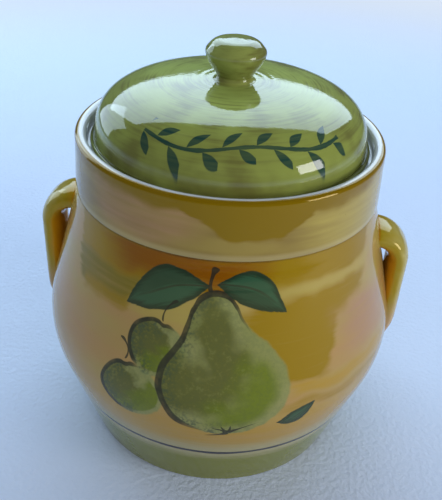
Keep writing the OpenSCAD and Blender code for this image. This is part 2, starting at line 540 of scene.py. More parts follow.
def glazed(
    shader: Shader,
    colour: Any,
    relief: Any,
    rise_mm: float,
    roughness: float,
    sheen: str = "#FFFFFF",
) -> bpy.types.Material:
    """Puts a clear glossy glaze over a colour.

    Args:
        shader: The shader to finish.
        colour: The fired colour under the gloss.
        relief: The height of the surface from 0 to 1.
        rise_mm: What a relief of 1 measures.
        roughness: How dull the gloss is.
        sheen: The colour of what the gloss mirrors straight back.

    Returns:
        The finished material.
    """
    normal = shader.add(Node.BUMP, relief, rise_mm * MM)
    surface = shader.add(Node.GLOSS, colour, roughness, normal, 1.55, sheen)
    shader.add(Node.OUT, surface)
    return shader.owner


@dataclass(frozen=True)
class HoneyGlaze:
    """Ochre and honey stoneware glaze, brushed on a turning pot under a clear gloss.

    The brush leaves level streaks, thin glaze fires to a peach tan and thick glaze to amber. The
    collar's darker tan is painted shade, the pale line on its lower ridge a painted highlight and the
    dark line in its crease a painted shadow. A pair of heights or radii, in millimetres, is where a
    change of glaze, or of painted light or shade, starts and where it ends.
    """

    tan: str = "#AC9250"
    peach: str = "#B08A54"
    # Painted shade: a darker tan for the collar, standing in for the shade on the upright collar.
    clay: str = "#866E38"
    gold: str = "#967600"
    drip: str = "#826600"
    amber: str = "#864E00"
    olive: str = "#7E6C18"
    straw: str = "#AE9A4C"
    apricot: str = "#AE8A34"
    rose: str = "#AC8460"
    ash: str = "#A8A078"
    sage: str = "#787C30"
    slate: str = "#1E2036"
    # Rust-coloured thin glaze on the rim's edge and in specks, and also a painted shadow line in the
    # crease under the collar.
    rust_and_crease_shade: str = "#5E3C0A"
    # Painted highlight: the pale line laid on the collar's lower ridge, where it catches the light.
    ridge_highlight: str = "#CDBE8E"
    white: str = "#D8DCE0"
    sheen: str = "#FFE4A0"
    line_z: float = 46.0
    ash_z: tuple[float, float] = (64.0, 47.0)
    sage_z: tuple[float, float] = (44.0, 33.0)
    crease_z: tuple[float, float] = (191.4, 190.6)
    ridge_z: tuple[float, float] = (196.0, 193.0)
    lining_z: tuple[float, float] = (200.0, 205.0)
    edge_z: tuple[float, float] = (225.0, 227.2)
    edge_r: tuple[float, float] = (96.9, 97.6)
    collar_z: float = 190.5
    belly_r: float = 116.0
    collar_r: float = 101.0

    def swaths(self) -> tuple[Swath, ...]:
        """The bands brushed over the belly and the shoulder, in the order they were laid."""
        return (
            Swath(-180, 180, 58, 86, self.apricot, 0.75, 18),
            Swath(-26, 16, 148, 172, self.straw, 0.7, 12, 2),
            Swath(-53, -22, 152, 178, self.olive, 0.95, 5),
            Swath(-46, -24, 148, 158, self.gold, 0.8, 6),
            Swath(-58, 66, 171, 200, self.gold, 1.15, 7),
            Swath(-34, 14, 174, 190, self.amber, 1.0, 10, 4),
            Swath(14, 62, 163, 172, self.straw, 0.85, 6, 3),
            Swath(16, 58, 149, 164, self.gold, 1.1, 8),
            Swath(13, 43, 114, 158, self.gold, 1.1, 7, 1, 0.2),
            Swath(48, 72, 120, 148, self.rose, 0.9, 14, 2),
            Swath(26, 74, 102, 112, self.apricot, 0.9, 6, 3),
            Swath(24, 70, 90, 97, self.gold, 0.6, 6, 4),
            Swath(-74, -40, 96, 132, self.rose, 0.5, 20, 2),
            Swath(116, 240, 171, 200, self.gold, 1.15, 7),
            Swath(146, 192, 174, 190, self.amber, 1.0, 10, 4),
            Swath(122, 160, 150, 176, self.olive, 0.9, 6),
            Swath(168, 232, 144, 165, self.gold, 1.05, 8),
            Swath(198, 228, 112, 152, self.gold, 1.05, 7, 1, 0.2),
            Swath(128, 176, 98, 120, self.apricot, 0.9, 12, 2),
            Swath(186, 216, 90, 104, self.straw, 0.8, 8, 2),
        )

    def drips(self) -> tuple[Swath, ...]:
        """The bands brushed over the collar, with the thick glaze that ran down from the rim."""
        return (
            Swath(-42, -6, 194, 224, self.rose, 0.55, 12, 2),
            Swath(30, 90, 190, 222, self.straw, 0.8, 12, 3),
            Swath(-180, 180, 222, 242, self.drip, 1.0, 6),
            Swath(-12, 36, 210, 242, self.drip, 1.2, 4, 1, 0.9),
            Swath(-4, 26, 202, 222, self.drip, 1.15, 4, 1, 0.9),
            Swath(30, 66, 218, 242, self.drip, 0.9, 7, 2),
            Swath(108, 170, 208, 242, self.drip, 1.15, 5),
            Swath(124, 150, 199, 216, self.drip, 1.1, 5),
            Swath(194, 234, 212, 242, self.drip, 1.05, 5),
        )

    def body(self, shader: Shader, wheel: Wheel) -> bpy.types.NodeSocket:
        """Colours the belly and the shoulder.

        Args:
            shader: The shader to build in.
            wheel: The place on the pot.

        Returns:
            The colour.
        """
        broad = wheel.brushed(shader, wheel.z, 1.3, 22.0, 2.0)
        colour = shader.add(
            Node.PAINT, shader.add(Node.STEP, broad, 0.3, 0.7), self.tan, self.peach
        )
        brush = Brushwork.of(shader, wheel, 26.0, self.belly_r)
        for swath in self.swaths():
            colour = swath.laid(shader, brush, colour)
        return colour

    def collar(self, shader: Shader, wheel: Wheel) -> bpy.types.NodeSocket:
        """Colours the collar a darker tan that is painted shade, with thick gold under the rim that has
        run down in places, a painted highlight on its lower ridge and a painted shadow line in its
        crease.

        Args:
            shader: The shader to build in.
            wheel: The place on the pot.

        Returns:
            The colour.
        """
        broad = wheel.brushed(shader, wheel.z, 1.7, 14.0, 2.0)
        mask = shader.add(Node.TIMES, shader.add(Node.STEP, broad, 0.36, 0.64), 0.4)
        # Painted shade: the collar is mostly the darker tan, for the shade on the upright collar.
        colour = shader.add(Node.PAINT, mask, self.clay, self.straw)
        brush = Brushwork.of(shader, wheel, 22.0, self.collar_r)
        for swath in self.drips():
            colour = swath.laid(shader, brush, colour)
        # Painted highlight: a pale line along the collar's lower ridge.
        ridge = shader.add(Node.STEP, wheel.z, *self.ridge_z)
        colour = shader.lay(colour, self.ridge_highlight, ridge, 0.3)
        # Painted shade: a dark line in the crease between the belly and the collar.
        crease = shader.add(Node.STEP, wheel.z, *self.crease_z)
        return shader.lay(colour, self.rust_and_crease_shade, crease, 0.6)

    def foot(self, shader: Shader, wheel: Wheel, colour: Any) -> bpy.types.NodeSocket:
        """Fades the belly to ash, with a slate line and a sage band at the foot.

        Args:
            shader: The shader to build in.
            wheel: The place on the pot.
            colour: The colour so far.

        Returns:
            The colour with what was laid on it.
        """
        fine = wheel.brushed(shader, wheel.z, 3.0, 2.4, 3.0)
        level = shader.add(Node.TIMES_PLUS, fine, 8.0, shader.add(Node.PLUS, wheel.z, -4.0))
        colour = shader.lay(colour, self.ash, shader.add(Node.STEP, level, *self.ash_z))
        colour = shader.lay(colour, self.sage, shader.add(Node.STEP, level, *self.sage_z))
        hand = wheel.brushed(shader, 0.0, 2.0, 1.0, 1.0)
        off = shader.add(
            Node.TIMES_PLUS, hand, 2.4, shader.add(Node.PLUS, wheel.z, -self.line_z - 1.2)
        )
        off = shader.add(Node.ABSOLUTE, off)
        load = wheel.brushed(shader, 0.0, 4.0, 1.0)
        line = shader.add(Node.STEP, shader.add(Node.TIMES_PLUS, load, -0.8, off), 1.4, 0.7)
        dark = shader.add(Node.TIMES_PLUS, load, 0.4, 0.78)
        return shader.lay(colour, self.slate, line, dark)

    def rim(self, shader: Shader, wheel: Wheel, colour: Any) -> bpy.types.NodeSocket:
        """Thins the glaze to rust over the rim's edge, with white inside it.

        Args:
            shader: The shader to build in.
            wheel: The place on the pot.
            colour: The colour so far.

        Returns:
            The colour with what was laid on it.
        """
        wander = wheel.brushed(shader, 0.0, 3.0, 1.0, 3.0)
        inward = shader.add(Node.TIMES_PLUS, wander, 1.2, shader.add(Node.PLUS, wheel.r, -0.6))
        edge = shader.add(
            Node.TIMES,
            shader.add(Node.STEP, wheel.z, *self.edge_z),
            shader.add(Node.STEP, inward, *self.edge_r),
        )
        colour = shader.lay(colour, self.rust_and_crease_shade, edge, 0.12)
        inside = shader.add(
            Node.TIMES,
            shader.add(Node.STEP, inward, *self.edge_r[::-1]),
            shader.add(Node.STEP, wheel.z, *self.lining_z),
        )
        return shader.lay(colour, self.white, inside)

    def material(self) -> bpy.types.Material:
        """Builds the glaze of the crock's outside, with its painted fruit.

        Returns:
            The material.
        """
        shader = Shader(bpy.data.materials.new("stoneware_honey_glaze_brushed"))
        wheel = Wheel.of(shader)
        on_collar = shader.add(Node.STEP, wheel.z, self.collar_z - 0.4, self.collar_z + 0.4)
        colour = shader.add(
            Node.PAINT, on_collar, self.body(shader, wheel), self.collar(shader, wheel)
        )
        colour = self.foot(shader, wheel, colour)
        colour = FruitPanel().painted(shader, wheel, colour)
        colour = self.rim(shader, wheel, colour)
        specks = shader.add(Node.STEP, wheel.clouds(shader, 1.6, 1.0), 0.79, 0.82)
        colour = shader.lay(colour, self.rust_and_crease_shade, specks, 0.5)
        rings = wheel.brushed(shader, wheel.z, 0.7, 5.0, 1.0)
        peel = wheel.clouds(shader, 2.6, 1.0)
        relief = shader.add(Node.TIMES_PLUS, rings, 0.8, shader.add(Node.TIMES, peel, 0.2))
        return glazed(shader, colour, relief, 0.10, 0.07, self.sheen)


@dataclass(frozen=True)
class FruitPanel:
    """A pear, two plums and leaves, sponged and brushed on the front of the belly.

    A sponge leaves clouds of green, and the outlines are strokes of one loaded brush.
    """

    wall_r: float = 116.0
    pale: str = "#848E56"
    moss: str = "#34483A"
    olive: str = "#56581C"
    lime: str = "#66740C"
    ink: str = "#24261E"
    leaf: str = "#26543C"
    leaf_dark: str = "#103224"
    pear: Fruit = Fruit(13.0, 113.0, 9.0, 63.0, 4.6, Silhouette.PEAR)
    plums: tuple[Fruit, ...] = (
        Fruit(-43.0, 98.0, 12.0, 22.0, 3.2, Silhouette.PLUM),
        Fruit(-29.0, 132.0, -12.0, 20.0, 3.0, Silhouette.PLUM),
    )
    leaves: tuple[Stroke, ...] = (
        Stroke(2.0, 176.0, 203.0, 60.0, 13.5, -6.0),
        Stroke(5.0, 177.0, -22.0, 50.0, 11.5, 6.0),
        Stroke(46.0, 82.0, 24.0, 28.0, 6.5, -4.0),
    )
    stems: tuple[Stroke, ...] = (
        Stroke(2.0, 172.0, 76.0, 15.0, 2.6, 2.0, Taper.STEM),
        Stroke(-26.0, 150.0, 58.0, 16.0, 1.5, 3.0, Taper.STEM),
        Stroke(-47.5, 118.5, 112.0, 15.0, 1.5, -3.0, Taper.STEM),
    )
    hairs: tuple[Stroke, ...] = tuple(
        Stroke(18.0, 76.0, heading, length, half_width, bend, Taper.HAIR)
        for heading, length, half_width, bend in (
            (200.0, 15.0, 2.0, 1.0),
            (160.0, 11.0, 1.9, -1.0),
            (124.0, 9.0, 1.8, 0.5),
            (84.0, 8.0, 1.8, -0.5),
            (26.0, 22.0, 1.3, 1.5),
        )
    )

    def sponged(
        self, shader: Shader, wheel: Wheel, wall: Any, colour: Any, fruit: Fruit
    ) -> bpy.types.NodeSocket:
        """Fills a fruit with sponged greens and rounds its shaded side with a brush stroke.

        Args:
            shader: The shader to build in.
            wheel: The place on the pot.
            wall: The flattened wall's coordinates in millimetres.
            colour: The colour so far.
            fruit: The fruit.

        Returns:
            The colour with the fruit on it.
        """
        spot = fruit.inside(shader, wall)
        size = fruit.reach
        grain = wheel.clouds(shader, 1.7, 4.0)
        sponge = wheel.clouds(shader, 6.0, 5.0)
        cloud = wheel.clouds(shader, size * 0.45, 2.0)
        lean = shader.add(
            Node.TIMES_PLUS,
            spot.along,
            0.5 / size,
            shader.add(Node.TIMES, spot.across, -1.0 / size),
        )
        load = shader.add(Node.STEP, lean, -0.22, 0.3)
        ragged = shader.add(Node.TIMES_PLUS, sponge, 3.0, shader.add(Node.PLUS, spot.room, -1.5))
        wash = shader.add(
            Node.STEP, shader.add(Node.TIMES_PLUS, load, -0.03 * size, ragged), -0.4, 1.6
        )
        colour = shader.lay(colour, self.pale, wash, 0.82)
        deep = shader.add(
            Node.TIMES_PLUS,
            cloud,
            0.9 * size,
            shader.add(Node.TIMES_PLUS, ragged, 0.6, -0.56 * size),
        )
        deep = shader.add(
            Node.TIMES_PLUS, spot.across, -0.34, shader.add(Node.TIMES_PLUS, spot.along, 0.1, deep)
        )
        body = shader.add(Node.TIMES, shader.add(Node.STEP, deep, -0.06 * size, 0.2 * size), wash)
        colour = shader.lay(colour, self.olive, body, 0.88)
        low = shader.add(
            Node.TIMES_PLUS,
            spot.along,
            -0.9 / size,
            shader.add(Node.TIMES_PLUS, spot.across, 0.8 / size, cloud),
        )
        glow = shader.add(
            Node.TIMES,
            shader.add(Node.STEP, low, 0.46, 0.86),
            shader.add(Node.STEP, ragged, 3.0, 0.2 * size),
        )
        colour = shader.lay(colour, self.lime, glow, 0.9)
        rough = shader.add(Node.TIMES_PLUS, grain, 0.8, shader.add(Node.TIMES, sponge, 0.6))
        near = shader.add(
            Node.TIMES, shader.add(Node.STEP, spot.across, 0.35 * size, -0.3 * size), 0.6
        )
        near = shader.add(Node.TIMES_PLUS, shader.add(Node.STEP, spot.room, 16.0, 3.0), near, 0.14)
        dabs = shader.add(
            Node.TIMES, shader.add(Node.TIMES, shader.add(Node.STEP, rough, 0.58, 0.82), near), wash
        )
        colour = shader.lay(colour, self.moss, dabs)
        pits = shader.add(
            Node.TIMES, shader.add(Node.STEP, rough, 0.66, 0.5), shader.add(Node.TIMES, body, 0.22)
        )
        colour = shader.lay(colour, self.pale, pits)
        off = shader.add(Node.PLUS, spot.room, -fruit.ink / 2)
        off = shader.add(Node.ABSOLUTE, off)
        edge = shader.add(Node.MINUS, shader.add(Node.TIMES, load, fruit.ink / 2), off)
        bristle = shader.add(Node.TIMES_PLUS, sponge, 0.5, 0.66)
        inked = shader.add(
            Node.TIMES,
            shader.add(Node.STEP, edge, -0.2, 0.6),
            shader.add(Node.TIMES, load, bristle),
        )
        return shader.lay(colour, self.ink, inked)

    def leafed(self, shader: Shader, wall: Any, colour: Any, leaf: Stroke) -> bpy.types.NodeSocket:
        """Lays one leaf, darker at its edges and midrib, with bristle streaks along it.

        Args:
            shader: The shader to build in.
            wall: The flattened wall's coordinates in millimetres.
            colour: The colour so far.
            leaf: The leaf's stroke.

        Returns:
            The colour with what was laid on it.
        """
        spot = leaf.inside(shader, wall)
        streak = shader.add(
            Node.POINT,
            shader.add(Node.TIMES, spot.along, 3.0),
            shader.add(Node.TIMES, spot.across, 0.9),
        )
        bristle = shader.add(Node.NOISE, streak, 1.0, 3.0)
        ragged = shader.add(Node.TIMES_PLUS, bristle, 1.6, shader.add(Node.PLUS, spot.room, -0.8))
        fill = shader.add(Node.STEP, ragged, 0.0, 0.9)
        edge = shader.add(Node.STEP, shader.add(Node.TIMES_PLUS, bristle, 6.0, spot.room), 8.5, 4.5)
        green = shader.add(Node.PAINT, edge, self.leaf, self.leaf_dark)
        under = shader.add(
            Node.STEP, shader.add(Node.TIMES_PLUS, bristle, 7.0, spot.across), 4.0, 1.6
        )
        green = shader.lay(green, self.leaf_dark, under, 0.5)
        off = shader.add(Node.ABSOLUTE, spot.across)
        rib = shader.add(
            Node.TIMES,
            shader.add(Node.STEP, off, 0.9, 0.3),
            shader.add(Node.STEP, spot.along, 0.95, 0.5),
        )
        green = shader.lay(green, self.ink, rib, 0.6)
        return shader.add(Node.PAINT, shader.add(Node.TIMES, fill, 0.96), colour, green)

    def painted(self, shader: Shader, wheel: Wheel, colour: Any) -> bpy.types.NodeSocket:
        """Paints the whole panel over the glaze.

        Args:
            shader: The shader to build in.
            wheel: The place on the pot.
            colour: The glaze's colour.

        Returns:
            The colour with the panel on it.
        """
        flat = shader.add(Node.TIMES, wheel.turn, self.wall_r)
        wall = shader.add(Node.POINT, flat, wheel.z)
        shake = shader.add(Node.NOISE_COLOUR, wheel.spot, 0.045, 1.0)
        nudge = shader.add(Node.VECTOR_MINUS, shake, (0.5, 0.5, 0.5))
        nudge = shader.add(Node.VECTOR_TIMES, nudge, (4.0, 4.0, 0.0))
        wall = shader.add(Node.VECTOR_PLUS, wall, nudge)
        for fruit in (*self.plums, self.pear):
            colour = self.sponged(shader, wheel, wall, colour, fruit)
        for leaf in self.leaves:
            colour = self.leafed(shader, wall, colour, leaf)
        inked: Any = 0.0
        for stroke in (*self.stems, *self.hairs):
            inked = shader.add(
                Node.LARGER,
                inked,
                shader.add(Node.STEP, stroke.inside(shader, wall).room, 0.05, 0.5),
            )
        return shader.lay(colour, self.ink, inked, 0.9)


@dataclass(frozen=True)
class HandleGlaze:
    """The same honey glaze on a pulled strap, thin on its outer face, with painted shade that darkens
    the faces turning towards the crock.
    """

    # Painted shade: the dark amber of the strap's faces that turn towards the crock.
    inner_shade_brown: str = "#CC8A12"
    honey: str = "#B88414"
    gold: str = "#9C861A"
    straw: str = "#AEA05C"
    peach: str = "#B8967A"
    sheen: str = "#FFE4A0"

    def material(self, side: int) -> bpy.types.Material:
        """Builds the glaze of one handle.

        Args:
            side: 1 for the right-hand handle and -1 for the left-hand one.

        Returns:
            The material.
        """
        name = "stoneware_honey_glaze_" + ("right" if side > 0 else "left")
        shader = Shader(bpy.data.materials.new(name))
        wheel = Wheel.of(shader)
        streak = wheel.brushed(shader, wheel.z, 9.0, 30.0, 3.0)
        cloud = wheel.clouds(shader, 16.0)
        facing = shader.add(Node.DOT, shader.add(Node.FACING), wheel.side)
        facing = shader.add(
            Node.TIMES_PLUS, facing, 0.5, shader.add(Node.TIMES_PLUS, cloud, 0.5, 0.25)
        )
        # Painted shade: the colour runs from dark amber on faces turning towards the crock to pale
        # straw on faces turning away.
        stops = ((0.05, self.inner_shade_brown), (0.36, self.honey), (0.6, self.gold), (0.95, self.straw))
        ramp = [(place, srgb(code)) for place, code in stops]
        colour = shader.add(Node.RAMP, facing, ramp=ramp)
        low = shader.add(Node.STEP, shader.add(Node.TIMES_PLUS, cloud, 30.0, wheel.z), 140.0, 104.0)
        thin = shader.add(Node.TIMES, low, shader.add(Node.STEP, facing, 0.25, 0.6))
        colour = shader.lay(colour, self.peach, thin, 0.85)
        peel = wheel.clouds(shader, 2.6, 1.0)
        relief = shader.add(Node.TIMES_PLUS, streak, 0.7, shader.add(Node.TIMES, peel, 0.3))
        return glazed(shader, colour, relief, 0.12, 0.07, self.sheen)


@dataclass(frozen=True)
class WhiteGlaze:
    """White stoneware glaze inside the pot, with faint throwing rings and a cold tint."""

    white: str = "#D6DADD"
    grey: str = "#B9C0C4"

    def material(self) -> bpy.types.Material:
        """Builds the glaze of the crock's inside and the lid's underside.

        Returns:
            The material.
        """
        shader = Shader(bpy.data.materials.new("stoneware_white_glaze"))
        wheel = Wheel.of(shader)
        cloud = wheel.clouds(shader, 30.0)
        fine = wheel.brushed(shader, wheel.z, 1.5, 5.0)
        mixed = shader.add(Node.TIMES_PLUS, fine, 0.5, shader.add(Node.TIMES, cloud, 0.5))
        colour = shader.add(Node.PAINT, mixed, self.white, self.grey)
        return glazed(shader, colour, wheel.brushed(shader, wheel.z, 0.6, 4.0, 1.0), 0.12, 0.10)


@dataclass(frozen=True)
class BareStoneware:
    """Fired clay with no glaze, where the pot stands and the lid rests: dry, grainy and buff."""

    buff: str = "#C9B79A"
    grit: str = "#8E7A60"

    def material(self) -> bpy.types.Material:
        """Builds the bare clay.

        Returns:
            The material.
        """
        shader = Shader(bpy.data.materials.new("stoneware_unglazed"))
        wheel = Wheel.of(shader)
        grain = wheel.clouds(shader, 0.8, 4.0)
        specks = shader.add(Node.STEP, wheel.clouds(shader, 1.4, 2.0), 0.62, 0.72)
        colour = shader.add(Node.PAINT, grain, self.buff, self.grit)
        colour = shader.lay(colour, self.grit, specks)
        return glazed(shader, colour, grain, 0.25, 0.85)


@dataclass(frozen=True)
class LeafGlaze:
    """Leaf-green stoneware glaze, brushed in rings on the turning lid under a clear gloss."""

    light: str = "#A2B05A"
    green: str = "#8A9344"
    olive: str = "#686630"
    ink: str = "#1E4036"
    turns: tuple[Stroke, ...] = (
        Stroke(1.0, 0.6, 40.0, 17.0, 3.2, 1.5),
        Stroke(10.5, -0.6, -36.0, 15.0, 2.9, -1.2),
    )
    repeat: float = 20.0
    sprig_r: float = 78.0
    wave_length: float = 80.0
    wave_height: float = 2.6
    stretch: float = 1.25
    middle: float = 14.0
    reach: float = 64.0

    def sprig(self, shader: Shader, wheel: Wheel) -> bpy.types.NodeSocket:
        """A waving stem with leaves on both sides, brushed round the lid's front.

        Args:
            shader: The shader to build in.
            wheel: The place on the pot.

        Returns:
            1 on the sprig and 0 round it.
        """
        flat = shader.add(Node.TIMES, wheel.turn, self.wave_length)
        wave = shader.add(Node.SINE, shader.add(Node.TIMES, flat, math.tau / self.wave_length))
        drop = shader.add(Node.TIMES_PLUS, wheel.r, -self.stretch, self.sprig_r * self.stretch)
        level = shader.add(Node.TIMES_PLUS, wave, -self.wave_height, drop)
        cell = shader.add(Node.WRAP, flat, self.repeat, 0.0)
        local = shader.add(Node.POINT, cell, level)
        mask: Any = 0.0
        for leaf in self.turns:
            room = leaf.inside(shader, local).room
            mask = shader.add(Node.LARGER, mask, shader.add(Node.STEP, room, 0.1, 0.7))
        off = shader.add(Node.ABSOLUTE, level)
        load = shader.add(Node.TIMES_PLUS, wheel.brushed(shader, 0.0, 9.0, 1.0), 1.6, 0.4)
        stem = shader.add(Node.STEP, shader.add(Node.MINUS, load, off), -0.2, 0.25)
        away = shader.add(Node.ABSOLUTE, shader.add(Node.PLUS, flat, -self.middle))
        ends = shader.add(Node.STEP, away, self.reach, self.reach - 1.2)
        return shader.add(Node.TIMES, shader.add(Node.LARGER, mask, stem), ends)

    def material(self, decorated: bool) -> bpy.types.Material:
        """Builds the green glaze.

        Args:
            decorated: Whether the sprig is painted on it; without it, as on the knob, the glaze is
                darkened all over with olive as painted shade.

        Returns:
            The material.
        """
        name = "stoneware_leaf_glaze_" + ("sprig" if decorated else "plain")
        shader = Shader(bpy.data.materials.new(name))
        wheel = Wheel.of(shader)
        fine = wheel.brushed(shader, wheel.r, 1.4, 1.5, 4.0)
        broad = wheel.brushed(shader, wheel.r, 1.1, 11.0, 2.0)
        cloud = wheel.clouds(shader, 32.0)
        mixed = shader.add(
            Node.TIMES_PLUS, fine, 0.55, shader.add(Node.TIMES_PLUS, broad, 0.5, -0.02)
        )
        mixed = shader.add(Node.TIMES_PLUS, shader.add(Node.STEP, wheel.r, 76.0, 48.0), 0.32, mixed)
        mask = shader.add(Node.STEP, mixed, 0.42, 0.86)
        colour = shader.add(Node.PAINT, mask, self.green, self.light)
        dark = shader.add(Node.TIMES_PLUS, cloud, 0.7, shader.add(Node.TIMES, fine, 0.5))
        dark = shader.add(Node.TIMES_PLUS, shader.add(Node.STEP, wheel.r, 62.0, 84.0), 0.04, dark)
        colour = shader.lay(colour, self.olive, shader.add(Node.STEP, dark, 0.52, 0.78), 0.85)
        if decorated:
            streak = shader.add(Node.TIMES_PLUS, fine, 0.5, 0.66)
            mask = shader.add(Node.TIMES, self.sprig(shader, wheel), streak)
            colour = shader.lay(colour, self.ink, mask)
        else:
            # Painted shade: the knob's plain copy of the glaze is darkened all over with olive.
            colour = shader.lay(colour, self.olive, 0.4)
        relief = shader.add(
            Node.TIMES_PLUS, broad, 0.7, shader.add(Node.TIMES, wheel.clouds(shader, 2.6, 1.0), 0.3)
        )
        return glazed(shader, colour, relief, 0.10, 0.06)


@dataclass(frozen=True)
class Towelling:
    """Pale cotton cloth, napped and slightly uneven, which the crock stands on.

    Far from the crock it pales into the surround, so that no horizon shows.
    """

    colour: str = "#C8D4EA"
    far: str = "#DCE8F8"
    pales_m: tuple[float, float] = (0.7, 1.6)

    def material(self) -> bpy.types.Material:
        """Builds the cloth of the floor.

        Returns:
            The material.
        """
        shader = Shader(bpy.data.materials.new("cotton_cloth_napped"))
        spot = shader.add(Node.PLACE)
        away = shader.add(Node.LENGTH, spot)
        seen = shader.add(Node.CAMERA_RAY)
        nap = shader.add(Node.NOISE, spot, 260.0, 4.0)
        folds = shader.add(Node.NOISE, spot, 5.0, 2.0)
        height = shader.add(Node.TIMES_PLUS, folds, 6.0, shader.add(Node.TIMES, nap, 0.8))
        normal = shader.add(Node.BUMP, height, 0.0012)
        surface = shader.add(Node.GLOSS, self.colour, 0.95, normal)
        haze = shader.add(Node.GLOW, self.far)
        far = shader.add(Node.TIMES, shader.add(Node.STEP, away, *self.pales_m), seen)
        surface = shader.add(Node.MIX, far, surface, haze)
        shader.add(Node.OUT, surface)
        return shader.owner


class Coat(IntEnum):
    """Which of a thrown piece's three materials a face takes."""

    GLAZE = 0
    LINING = 1
    BARE = 2


@dataclass
class Crock:
    """The thrown crock, with the sizes of its solid, in millimetres."""

    height: float = 228.0
    foot_r: float = 97.0
    belly_r: float = 127.2
    belly_z: float = 91.0
    belly_round: float = 80.0
    wall: float = 7.0
    floor_z: float = 11.0
    recess: float = 3.0
    foot_ring: float = 12.0
    rim_r: float = 100.0
    crease_z: float = 190.5
    flare: float = 1.2
    crease: float = 1.4
    crease_edge: float = 0.6
    collar_edge: float = 2.2
    foot_edge: float = 2.5
    rim_edge: float = 2.8
    inner_edge: float = 1.5
    ledge: float = 6.0
    ledge_slope: float = 9.0
    ledge_round: float = 3.0
    floor_round: float = 14.0
    white_from: float = 3.6
    parting: float = 0.6
    bare_h: float = 0.5
    bare_in: float = 2.0
    lined_from: float = 2.0
    seat_r: float = 93.0
    seat_z: float = 219.0
    bore_r: float = 84.0
    steps: int = 256

    def wall_at(self, z: float) -> float:
        """Radius of the outer wall's two cones at a height.

        Args:
            z: The height in millimetres.

        Returns:
            The radius in millimetres.
        """
        if z < self.belly_z:
            return self.foot_r + (self.belly_r - self.foot_r) * z / self.belly_z
        share = (z - self.belly_z) / (self.crease_z - self.belly_z)
        return self.belly_r + (self.rim_r - self.belly_r) * share

    def outline(self) -> list[Vector]:
        """The closed outline from the recess round the outside to the floor inside.

        Returns:
            Radius and height of its points in millimetres.
        """
        foot_in = self.foot_r - self.foot_ring
        proud = self.rim_r + self.flare
        collar_in = self.rim_r - self.wall
        ledge_z = self.seat_z - self.ledge
        return dense(
            rounded(
                [
                    Corner(0, self.recess),
                    Corner(foot_in, self.recess, self.inner_edge),
                    Corner(foot_in, 0, self.inner_edge),
                    Corner(self.foot_r, 0, self.foot_edge),
                    Corner(self.belly_r, self.belly_z, self.belly_round),
                    Corner(proud - self.crease, self.crease_z, self.crease_edge),
                    Corner(proud, self.crease_z - self.crease_edge, self.collar_edge / 2),
                    Corner(proud, self.crease_z + self.collar_edge, self.collar_edge),
                    Corner(self.rim_r, self.height, self.rim_edge),
                    Corner(self.seat_r, self.height, self.rim_edge),
                    Corner(self.seat_r, self.seat_z, self.inner_edge),
                    Corner(self.bore_r, self.seat_z, self.inner_edge),
                    Corner(self.bore_r, ledge_z, self.inner_edge),
                    Corner(collar_in, ledge_z - self.ledge_slope, self.ledge_round),
                    Corner(collar_in, self.crease_z, 2 * self.ledge_round),
                    Corner(self.belly_r - self.wall, self.belly_z, self.belly_round - self.wall),
                    Corner(self.wall_at(self.floor_z) - self.wall, self.floor_z, self.floor_round),
                    Corner(0, self.floor_z),
                ]
            ),
            6.0,
        )

    def build(self) -> bpy.types.Object:
        """Throws the crock and glazes its outside, its inside and its bare foot.

        Returns:
            The finished piece.
        """
        piece = turned("crock_glazed", self.outline(), self.steps)
        outside = HoneyGlaze().material()
        for material in (outside, WhiteGlaze().material(), BareStoneware().material()):
            piece.data.materials.append(material)
        for face in piece.data.polygons:
            spot = face.center / MM
            r = math.hypot(spot.x, spot.y)
            if spot.z < self.recess + self.bare_h and r < self.foot_r - self.bare_in:
                face.material_index = Coat.BARE
            elif spot.z > self.recess + self.lined_from and r < self.inner_at(spot.z):
                face.material_index = Coat.LINING
        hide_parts("crock")
        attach(piece, "jar")
        return piece

    def skin_at(self, z: float) -> float:
        """Radius of the finished outside at a height.

        Args:
            z: The height in millimetres.

        Returns:
            The radius in millimetres.
        """
        points = self.outline()
        spans = [(a, b) for a, b in zip(points, points[1:]) if min(a.y, b.y) <= z <= max(a.y, b.y)]
        return max(a.x + (b.x - a.x) * (z - a.y) / (b.y - a.y or 1.0) for a, b in spans)

    def inner_at(self, z: float) -> float:
        """Radius that parts the wall's inside from its outside at a height.

        Args:
            z: The height in millimetres.

        Returns:
            The radius in millimetres.
        """
        if z > self.crease_z:
            return self.rim_r - self.white_from
        return self.wall_at(z) - self.wall * self.parting


